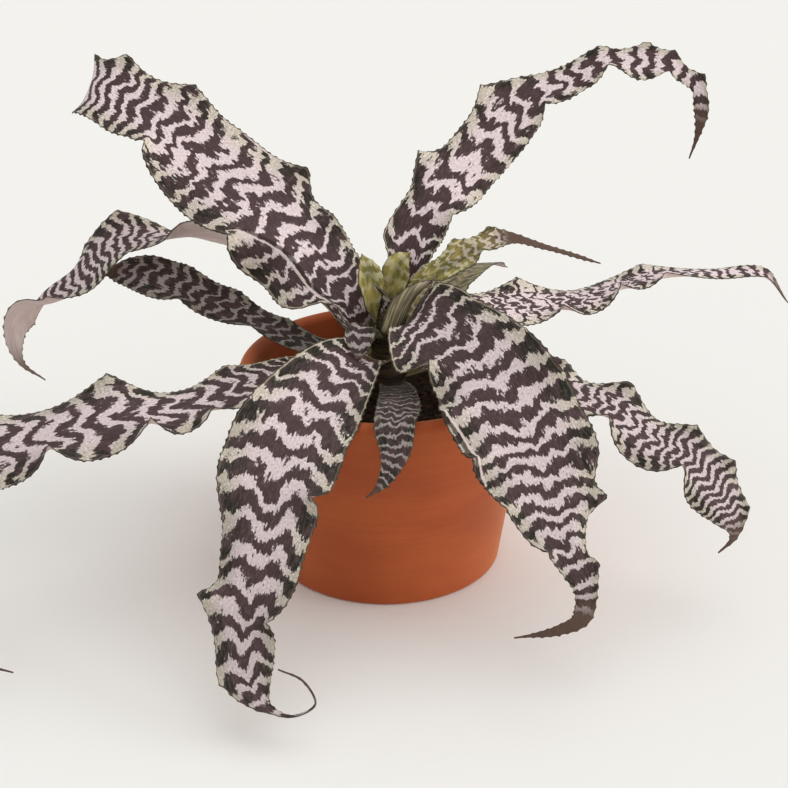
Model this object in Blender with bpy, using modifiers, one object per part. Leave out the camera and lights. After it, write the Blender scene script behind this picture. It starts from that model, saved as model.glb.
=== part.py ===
"""A zebra-banded bromeliad (an earth star) in a tapered terracotta pot.

Metres, +Z up. The origin is the centre of the pot's underside, the plant's front faces -Y,
and the pot's axis is the Z axis. Each leaf is a thin blade that springs from a short stem
and follows its own route out over the rim. Routes are stated across and deep in rim radii,
and up in pot heights as far as the rim and in rosette rises above it, so the plant keeps
its fit when the pot's size changes.
"""

import math

import bmesh
import bpy
import numpy as np

# Pot
RIM_RADIUS = 0.065
POT_HEIGHT = 0.093
BASE_RADIUS = 0.0515
WALL = 0.007
FLOOR = 0.007
DRAIN_RADIUS = 0.008
FOOT_ROUND = 0.0015
POT_STEPS = 64

# Potting mix
SOIL_BELOW_RIM = 0.016
SOIL_MOUND = 0.002
SOIL_STEPS = 48

# Stem
STEM_RADIUS = 0.010
STEM_TIP_RADIUS = 0.004
STEM_HEIGHT = 0.036
STEM_ROOTED = 0.014
STEM_STEPS = 24

# Leaves
ROSETTE_RISE = 0.093
LEAF_THICKNESS = 0.0012
LEAF_BASE_WRAP = 1.2
LEAF_GUTTER = 16.0
LEAF_ROW = 0.008
LEAF_COLUMNS = 4

# Touching pieces keep this gap
CLEARANCE = 0.0003

SOIL_TOP = POT_HEIGHT - SOIL_BELOW_RIM
MM = 0.001

# Each leaf: its name, where it leaves the stem (degrees round from +X, and the share of the
# stem's height), and its stations from base to tip. A station is across and deep in rim
# radii, up in pot heights to the rim at 1 and then in rosette rises, the blade's width in
# millimetres, and its twist in degrees.
LEAVES = [
    ("leaf_left_low", 195, 0.22, [
        (-0.53, -0.20, 1.00, 20, -10), (-0.80, -0.47, 1.04, 24, -5),
        (-1.03, -0.67, 1.05, 27, -5), (-1.38, -0.83, 1.03, 29, -5),
        (-1.71, -0.94, 1.02, 33, -10), (-2.19, -1.07, 0.97, 35, -15),
        (-2.55, -1.22, 0.92, 32, -25), (-2.85, -1.45, 0.73, 20, -35),
        (-2.93, -1.62, 0.41, 8, -40), (-2.66, -1.75, 0.18, 4, -40),
        (-2.28, -1.82, 0.12, 2, -40)]),
    ("leaf_left_mid", 172, 0.42, [
        (-0.35, -0.02, 1.03, 16, -5), (-0.65, 0.18, 1.07, 17, -5),
        (-0.94, 0.37, 1.11, 19, -10), (-1.23, 0.53, 1.16, 23, -15),
        (-1.50, 0.67, 1.20, 24, -20), (-1.72, 0.78, 1.23, 21, -30),
        (-1.92, 0.87, 1.21, 11, -35), (-2.06, 0.94, 1.17, 2, -35)]),
    ("leaf_left_twisted", 143, 0.47, [
        (-0.36, 0.20, 1.22, 20, 10), (-0.71, 0.49, 1.33, 27, 25),
        (-1.10, 0.76, 1.43, 32, 50), (-1.34, 0.86, 1.41, 27, 35),
        (-1.52, 0.90, 1.38, 24, 15), (-1.72, 0.92, 1.37, 25, -5),
        (-1.94, 0.92, 1.33, 26, -25), (-2.22, 0.89, 1.15, 22, -30),
        (-2.46, 0.83, 1.06, 15, -10), (-2.60, 0.77, 1.01, 13, 60),
        (-2.65, 0.71, 0.90, 9, 105), (-2.61, 0.65, 0.79, 4, 115),
        (-2.43, 0.58, 0.71, 2, 120)]),
    ("leaf_upper_left", 150, 0.60, [
        (-0.19, 0.05, 1.28, 20, -30), (-0.43, 0.19, 1.41, 36, -25),
        (-0.65, 0.36, 1.54, 41, -20), (-0.86, 0.52, 1.65, 44, -25),
        (-1.10, 0.68, 1.75, 43, -30), (-1.36, 0.82, 1.87, 39, -30),
        (-1.58, 0.93, 1.98, 36, -35), (-1.80, 1.02, 2.06, 33, -40),
        (-1.98, 1.09, 2.11, 29, -45), (-2.06, 1.20, 2.08, 24, -45),
        (-2.02, 1.34, 1.95, 14, -40), (-1.92, 1.40, 1.81, 2, -40)]),
    ("leaf_upper_right", 78, 0.62, [
        (0.14, 0.25, 1.40, 16, 5), (0.21, 0.36, 1.57, 25, 10),
        (0.35, 0.42, 1.69, 27, 5), (0.51, 0.55, 1.80, 27, 15),
        (0.77, 0.71, 1.96, 25, 15), (0.98, 0.80, 2.09, 20, 10),
        (1.26, 0.88, 2.18, 15, 0), (1.50, 0.92, 2.26, 12, -5),
        (1.75, 0.95, 2.25, 13, 20), (1.94, 0.97, 2.22, 10, 20),
        (2.10, 0.97, 2.14, 8, 45), (2.16, 0.95, 2.02, 7, 65),
        (2.14, 0.92, 1.90, 4, 65), (2.09, 0.89, 1.79, 2, 65)]),
    ("leaf_right_young", 5, 0.78, [
        (0.21, 0.00, 1.37, 12, 20), (0.35, 0.07, 1.43, 13, 40),
        (0.52, 0.18, 1.49, 14, 45), (0.67, 0.23, 1.53, 11, 45),
        (0.83, 0.28, 1.54, 6, 40), (1.07, 0.31, 1.49, 3, 40),
        (1.45, 0.34, 1.40, 2, 40)]),
    ("leaf_right_high", 20, 0.45, [
        (0.36, 0.15, 1.18, 22, 5), (0.80, 0.52, 1.12, 25, 25),
        (1.14, 0.71, 1.08, 25, 25), (1.42, 0.86, 1.07, 22, 15),
        (1.69, 1.02, 1.09, 19, 5), (2.00, 1.14, 1.11, 16, 5),
        (2.41, 1.26, 1.09, 12, 10), (2.80, 1.35, 1.05, 8, 25),
        (3.00, 1.42, 0.88, 2, 50)]),
    ("leaf_right_low", 345, 0.28, [
        (0.53, -0.15, 1.07, 23, 10), (0.90, -0.37, 1.07, 27, 15),
        (1.19, -0.50, 1.00, 27, 5), (1.43, -0.59, 0.96, 25, 5),
        (1.70, -0.75, 0.86, 24, 10), (1.97, -0.84, 0.77, 23, 15),
        (2.10, -0.90, 0.68, 22, 25), (2.20, -0.95, 0.57, 16, 30),
        (2.23, -1.00, 0.45, 5, 40), (2.14, -1.02, 0.38, 2, 40)]),
    ("leaf_front_right", 310, 0.62, [
        (0.13, -0.15, 1.23, 16, 15), (0.26, -0.33, 1.32, 31, 35),
        (0.45, -0.55, 1.30, 42, 35), (0.64, -0.80, 1.22, 50, 30),
        (0.79, -1.05, 1.08, 52, 20), (0.92, -1.26, 0.94, 49, 20),
        (1.00, -1.44, 0.81, 38, 15), (1.06, -1.58, 0.70, 25, 20),
        (1.14, -1.69, 0.60, 13, 25), (1.20, -1.76, 0.48, 6, 30),
        (1.19, -1.79, 0.39, 4, 30), (1.05, -1.77, 0.31, 3, 30),
        (0.79, -1.72, 0.25, 2, 35)]),
    ("leaf_front_small", 278, 0.18, [
        (0.06, -0.43, 1.01, 13, 0), (0.08, -0.69, 1.05, 16, 0),
        (0.08, -0.90, 1.06, 18, 0), (0.06, -1.06, 1.03, 17, 0),
        (0.06, -1.14, 0.95, 13, 0), (0.03, -1.18, 0.87, 8, 0),
        (-0.03, -1.22, 0.80, 4, -5), (-0.12, -1.24, 0.75, 2, -15)]),
    ("leaf_front_left", 245, 0.52, [
        (-0.10, -0.25, 1.09, 19, -10), (-0.23, -0.49, 1.13, 30, -25),
        (-0.44, -0.83, 1.07, 43, -25), (-0.58, -1.15, 0.98, 47, -20),
        (-0.67, -1.42, 0.85, 43, -20), (-0.73, -1.63, 0.70, 36, -20),
        (-0.80, -1.83, 0.53, 30, -20), (-0.84, -2.02, 0.37, 23, -20),
        (-0.79, -2.18, 0.22, 16, -30), (-0.69, -2.28, 0.17, 6, -60),
        (-0.55, -2.31, 0.14, 3, -90), (-0.41, -2.27, 0.18, 2, -90),
        (-0.48, -2.22, 0.27, 2, -60), (-0.63, -2.18, 0.31, 2, -40)]),
    ("leaf_under_heart", 235, 0.82, [
        (-0.16, -0.20, 1.23, 11, 0), (-0.17, -0.29, 1.20, 13, 0),
        (-0.17, -0.37, 1.16, 6, 0), (-0.17, -0.41, 1.14, 2, 0)]),
    ("leaf_heart_left", 190, 0.97, [
        (-0.10, 0.00, 1.25, 8, -30), (-0.11, 0.02, 1.36, 11, -50),
        (-0.13, 0.08, 1.45, 11, -50), (-0.16, 0.15, 1.50, 2, -50)]),
    ("leaf_heart_right", 68, 0.97, [
        (0.04, 0.10, 1.28, 8, 0), (0.06, 0.12, 1.37, 10, 0),
        (0.09, 0.16, 1.45, 10, 0), (0.16, 0.22, 1.49, 2, 0)]),
    ("leaf_back_right", 46, 0.40, [
        (0.25, 0.46, 1.06, 20, 0), (0.42, 0.82, 1.12, 24, -5),
        (0.60, 1.15, 1.14, 21, -10), (0.78, 1.38, 1.11, 11, -10),
        (0.90, 1.52, 1.05, 2, -10)]),
    ("leaf_back", 112, 0.22, [
        (-0.10, 0.50, 1.08, 20, 0), (-0.12, 0.95, 1.14, 32, 0),
        (-0.17, 1.40, 1.05, 34, 0), (-0.22, 1.80, 0.80, 27, 5),
        (-0.22, 2.10, 0.50, 16, 5), (-0.15, 2.28, 0.28, 5, 5),
        (-0.05, 2.31, 0.20, 2, 5)]),
]


def clear_scene():
    for obj in list(bpy.data.objects):
        bpy.data.objects.remove(obj, do_unlink=True)


def make_material(name, colour, roughness):
    material = bpy.data.materials.new(name)
    material.use_nodes = True
    shader = material.node_tree.nodes["Principled BSDF"]
    shader.inputs["Base Color"].default_value = (*colour, 1.0)
    shader.inputs["Roughness"].default_value = roughness
    shader.inputs["Metallic"].default_value = 0.0
    material.diffuse_color = (*colour, 1.0)
    return material


def add_object(name, mesh, material, collection):
    obj = bpy.data.objects.new(name, mesh)
    mesh.materials.append(material)
    collection.objects.link(obj)
    return obj


def turned(name, profile, steps, closed, material, collection):
    """A turned piece. Its (radius, height) profile runs down the outer side, top to bottom."""
    shape = bmesh.new()
    corners = [shape.verts.new((radius, 0.0, height)) for radius, height in profile]
    for first, second in zip(corners, corners[1:]):
        shape.edges.new((first, second))
    if closed:
        shape.edges.new((corners[-1], corners[0]))
    mesh = bpy.data.meshes.new(name)
    shape.to_mesh(mesh)
    shape.free()
    obj = add_object(name, mesh, material, collection)
    screw = obj.modifiers.new("Turn", "SCREW")
    screw.axis = "Z"
    screw.steps = steps
    screw.render_steps = steps
    screw.use_merge_vertices = True
    screw.merge_threshold = 0.00001
    screw.use_smooth_shade = True
    return obj


def arc(centre_r, centre_z, radius, start, end, pieces):
    """Points of a round stretch of a profile, from one angle to another, in degrees."""
    angles = [math.radians(start + (end - start) * k / pieces) for k in range(pieces + 1)]
    return [(centre_r + radius * math.cos(a), centre_z + radius * math.sin(a)) for a in angles]


def inner_radius(height):
    """The pot's inside radius at a height: its wall tapers with the outside."""
    return BASE_RADIUS + (RIM_RADIUS - BASE_RADIUS) * height / POT_HEIGHT - WALL


def make_pot(material, collection):
    lip = WALL / 2
    shoulder = POT_HEIGHT - lip
    lip_centre = inner_radius(shoulder) + lip
    profile = [(DRAIN_RADIUS, FLOOR), (inner_radius(FLOOR), FLOOR)]
    profile += arc(lip_centre, shoulder, lip, 180, 0, 8)
    profile += arc(BASE_RADIUS - FOOT_ROUND, FOOT_ROUND, FOOT_ROUND, 0, -90, 3)
    profile += [(DRAIN_RADIUS, 0.0)]
    return turned("terracotta_pot", profile, POT_STEPS, True, material, collection)


def make_soil(material, collection):
    """The mix fills the pot to just below the rim, with a socket for the rooted stem."""
    bottom = FLOOR + CLEARANCE
    socket = STEM_RADIUS + CLEARANCE
    top_edge = inner_radius(SOIL_TOP) - CLEARANCE
    profile = [
        (0.0, SOIL_TOP - STEM_ROOTED - CLEARANCE),
        (socket, SOIL_TOP - STEM_ROOTED - CLEARANCE),
        (socket, SOIL_TOP + SOIL_MOUND),
        ((socket + top_edge) / 2, SOIL_TOP + SOIL_MOUND / 2),
        (top_edge, SOIL_TOP),
        (inner_radius(bottom) - CLEARANCE, bottom),
        (0.0, bottom),
    ]
    return turned("potting_mix", profile, SOIL_STEPS, False, material, collection)


def stem_radius(share):
    """The stem's radius at a share of its height above the soil."""
    return STEM_RADIUS + (STEM_TIP_RADIUS - STEM_RADIUS) * share


def make_stem(material, collection):
    """A short stock, rooted in the mix, that tapers up to the growing point."""
    top = SOIL_TOP + STEM_HEIGHT
    profile = [(0.0, top + STEM_TIP_RADIUS / 2)]
    profile += [(STEM_TIP_RADIUS * 0.7, top + STEM_TIP_RADIUS * 0.3), (STEM_TIP_RADIUS, top)]
    profile += [(STEM_RADIUS, SOIL_TOP), (STEM_RADIUS, SOIL_TOP - STEM_ROOTED)]
    profile += [(0.0, SOIL_TOP - STEM_ROOTED)]
    return turned("stem", profile, STEM_STEPS, False, material, collection)


def smooth_rows(stations, rows):
    """Rows spaced evenly along a smooth curve through the stations (a Catmull-Rom spline)."""
    gaps = np.linalg.norm(np.diff(stations[:, :3], axis=0), axis=1)
    reach = np.concatenate([[0.0], np.cumsum(gaps)])
    along = np.linspace(0.0, reach[-1], rows)
    last = len(gaps) - 1
    span = np.clip(np.searchsorted(reach, along, side="right") - 1, 0, last)
    slopes = np.diff(stations, axis=0) / gaps[:, None]
    weight = (gaps[1:] / (gaps[1:] + gaps[:-1]))[:, None]
    middle = slopes[:-1] * weight + slopes[1:] * (1 - weight)
    tangents = np.vstack([slopes[:1], middle, slopes[-1:]])
    t = ((along - reach[span]) / gaps[span])[:, None]
    gap = gaps[span][:, None]
    start = (2 * t**3 - 3 * t**2 + 1) * stations[span] + (t**3 - 2 * t**2 + t) * gap * tangents[span]
    end = (3 * t**2 - 2 * t**3) * stations[span + 1] + (t**3 - t**2) * gap * tangents[span + 1]
    return start + end


def blade_frames(centre, twist):
    """Unit vectors at each row: along the blade, across it to its left, and out of its face."""
    along = np.gradient(centre, axis=0)
    along /= np.linalg.norm(along, axis=1)[:, None]
    side = np.array([-centre[0, 1], centre[0, 0], 0.0])
    sides = []
    for direction in along:
        side = side - (side @ direction) * direction
        side /= np.linalg.norm(side)
        sides.append(side)
    sides = np.array(sides)
    turn = np.radians(twist)[:, None]
    across = sides * np.cos(turn) + np.cross(along, sides) * np.sin(turn)
    return along, across, np.cross(along, across)


def station_height(up):
    """The rim is at 1: below it a height is a share of the pot's, above it of the rosette's."""
    return POT_HEIGHT * min(up, 1.0) + ROSETTE_RISE * max(up - 1.0, 0.0)


def leaf_stations(azimuth, share, stations):
    """A leaf's stations in metres, led by the place where its base meets the stem.

    The base is a fixed number of stem radii wide, so its guttered margins clear the stem.
    """
    angle = math.radians(azimuth)
    radius = stem_radius(share) + CLEARANCE + LEAF_THICKNESS / 2
    base = (radius * math.cos(angle), radius * math.sin(angle), SOIL_TOP + STEM_HEIGHT * share)
    rows = [(*base, LEAF_BASE_WRAP * stem_radius(share), 0.0)]
    for across, deep, up, width, twist in stations:
        place = (across * RIM_RADIUS, deep * RIM_RADIUS, station_height(up))
        rows.append((*place, width * MM, twist))
    return np.array(rows)


def make_leaf(name, azimuth, share, stations, material, collection):
    """A leaf blade: an open strip, gently guttered along its midrib, with Solidify."""
    stations = leaf_stations(azimuth, share, stations)
    length = np.linalg.norm(np.diff(stations[:, :3], axis=0), axis=1).sum()
    rows = smooth_rows(stations, max(6, round(length / LEAF_ROW)))
    centre, width, twist = rows[:, :3], rows[:, 3], rows[:, 4]
    _, across, out = blade_frames(centre, twist)
    shape = bmesh.new()
    grid = []
    for column in np.linspace(1.0, -1.0, LEAF_COLUMNS + 1):
        reach = (width / 2 * column * math.cos(math.radians(LEAF_GUTTER)))[:, None]
        rise = (width / 2 * column**2 * math.sin(math.radians(LEAF_GUTTER)))[:, None]
        points = centre + across * reach + out * rise
        grid.append([shape.verts.new(point) for point in points])
    for left, right in zip(grid, grid[1:]):
        for k in range(len(left) - 1):
            shape.faces.new((left[k], right[k], right[k + 1], left[k + 1]))
    bmesh.ops.recalc_face_normals(shape, faces=shape.faces)
    mesh = bpy.data.meshes.new(name)
    shape.to_mesh(mesh)
    shape.free()
    mesh.shade_smooth()
    leaf = add_object(name, mesh, material, collection)
    solidify = leaf.modifiers.new("Thickness", "SOLIDIFY")
    solidify.thickness = LEAF_THICKNESS
    solidify.offset = 0.0
    return leaf


def main():
    clear_scene()
    collection = bpy.data.collections.new("potted_bromeliad")
    bpy.context.scene.collection.children.link(collection)
    terracotta = make_material("terracotta", (0.42, 0.125, 0.05), 0.75)
    soil = make_material("potting_mix", (0.035, 0.024, 0.017), 0.95)
    stem = make_material("stem", (0.16, 0.13, 0.07), 0.8)
    blade = make_material("banded_leaf", (0.16, 0.12, 0.125), 0.55)
    heart = make_material("young_leaf", (0.24, 0.25, 0.07), 0.5)
    make_pot(terracotta, collection)
    make_soil(soil, collection)
    make_stem(stem, collection)
    for name, azimuth, share, stations in LEAVES:
        finish = heart if "heart" in name else blade
        make_leaf(name, azimuth, share, stations, finish, collection)


main()
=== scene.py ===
import math

import bmesh
import bpy
import numpy as np
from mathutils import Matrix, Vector, noise


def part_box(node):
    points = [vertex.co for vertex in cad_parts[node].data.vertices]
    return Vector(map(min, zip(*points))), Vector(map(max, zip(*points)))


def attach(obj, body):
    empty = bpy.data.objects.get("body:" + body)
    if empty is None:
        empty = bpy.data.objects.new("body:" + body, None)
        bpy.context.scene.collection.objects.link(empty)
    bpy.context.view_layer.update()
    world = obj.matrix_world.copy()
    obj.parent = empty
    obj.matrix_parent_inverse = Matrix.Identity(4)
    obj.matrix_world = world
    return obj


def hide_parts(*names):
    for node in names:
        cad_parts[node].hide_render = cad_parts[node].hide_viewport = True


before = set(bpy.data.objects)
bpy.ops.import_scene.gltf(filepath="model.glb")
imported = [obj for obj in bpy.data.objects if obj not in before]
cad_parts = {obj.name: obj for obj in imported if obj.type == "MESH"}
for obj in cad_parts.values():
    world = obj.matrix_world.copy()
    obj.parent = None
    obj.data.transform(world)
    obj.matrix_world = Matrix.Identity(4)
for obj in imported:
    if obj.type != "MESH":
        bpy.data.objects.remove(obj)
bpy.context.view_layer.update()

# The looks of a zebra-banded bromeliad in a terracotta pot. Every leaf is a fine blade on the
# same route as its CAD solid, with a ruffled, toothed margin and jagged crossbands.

MM = 0.001

# Sizes that the frame gives
_, POT_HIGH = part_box("terracotta_pot")
SOIL_LOW, SOIL_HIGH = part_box("potting_mix")
POT_HEIGHT = POT_HIGH.z

# Sizes that the design gives, as in the CAD
RIM_RADIUS = 0.065
BASE_RADIUS = 0.0515
WALL = 0.007
FLOOR = 0.007
DRAIN_RADIUS = 0.008
SOIL_MOUND = 0.002
SOIL_TOP = SOIL_HIGH.z - SOIL_MOUND
STEM_RADIUS = 0.010
STEM_TIP_RADIUS = 0.004
STEM_HEIGHT = 0.036
STEM_ROOTED = 0.014
CLEARANCE = 0.0003
LEAF_THICKNESS = 0.0012
LEAF_BASE_WRAP = 1.2
ROSETTE_RISE = 0.093

# How fine the blades are
ROW_STEP = 0.0011
FEWEST_ROWS = 24
ROWS_PER_TOOTH = 3
HALF_COLUMNS = 14
COLUMN_CROWDING = 1.35
NARROWEST_BLADE = 0.0012
MIDRIB_THICKNESS = 0.0011
MARGIN_THICKNESS = 0.0004
TOOTH_LENGTH = 0.00055

# Places across a half blade, 0 at the midrib and 1 at the margin, crowded towards the margin,
# and across the whole blade, from 1 at the left margin to -1 at the right one
HALF_PLACES = 1 - (1 - np.linspace(0.0, 1.0, HALF_COLUMNS + 1)) ** COLUMN_CROWDING
PLACES = np.concatenate([HALF_PLACES[::-1], -HALF_PLACES[1:]])

# The pot, the mix and the stem: the mix sinks a little so that its lumps stay near the CAD's
# surface, and the turned profiles stop just short of the axis
FOOT_ROUNDING = 0.0015
SOIL_SINK = 0.0006
SOIL_AXIS_GAP = 0.0008
STEM_AXIS_GAP = 0.0004
CHIPS = 420

# The studio
SENSOR_WIDTH = 36.0
LENS = 82.23
CAMERA_PLACE = (0.00344, -0.7149, 0.4238)
CAMERA_DIP = 25.87
LIGHTS_AIM = (0.0, 0.0, 0.08)
WORLD_STRENGTH = 0.70
FLOOR_HALF_SIZE = 30.0
FLOOR_DROP = 0.0001

# Each leaf: where it leaves the stem (degrees round from +X, share of the stem's height), its
# stations from base to tip (across and deep in rim radii, up in pot heights to the rim and
# rosette rises above it, width in millimetres, twist in degrees), and its looks:
# left, right: a margin's crests and troughs in turn, each at a share of the blade's length,
#   with its bend in degrees (up is positive) and how far it juts out in millimetres
# crease_left: a sharp fold, with painted shade and a painted highlight along it: the shares it
#   starts and ends at, and how near it comes to the midrib, as a share of the half blade
# clasp_left, clasp_right: a sheathing base: its half width, bend, and the share it ends at
# gutter: bend of each half at the base and further out, in degrees
# period: spacing of the bands in millimetres, at shares of the length
# zigzag: how far each band zigzags, in bands; mottle: how broken the bands are
# young: how yellow-green the blade is, and the share where that has faded
# shade_and_green: painted shade near the base and near the tip, with more and greener dark bands
#   there; pale: how much less of it is dark; dry: how brown its tip is, and the share where that
#   starts


def ruffles(crests, up, down):
    """Evenly spaced crests and troughs along a margin."""
    places = [0.12 + 0.78 * k / (2 * crests) for k in range(2 * crests)]
    return [(place, down if k % 2 else up, 0) for k, place in enumerate(places)]


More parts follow.
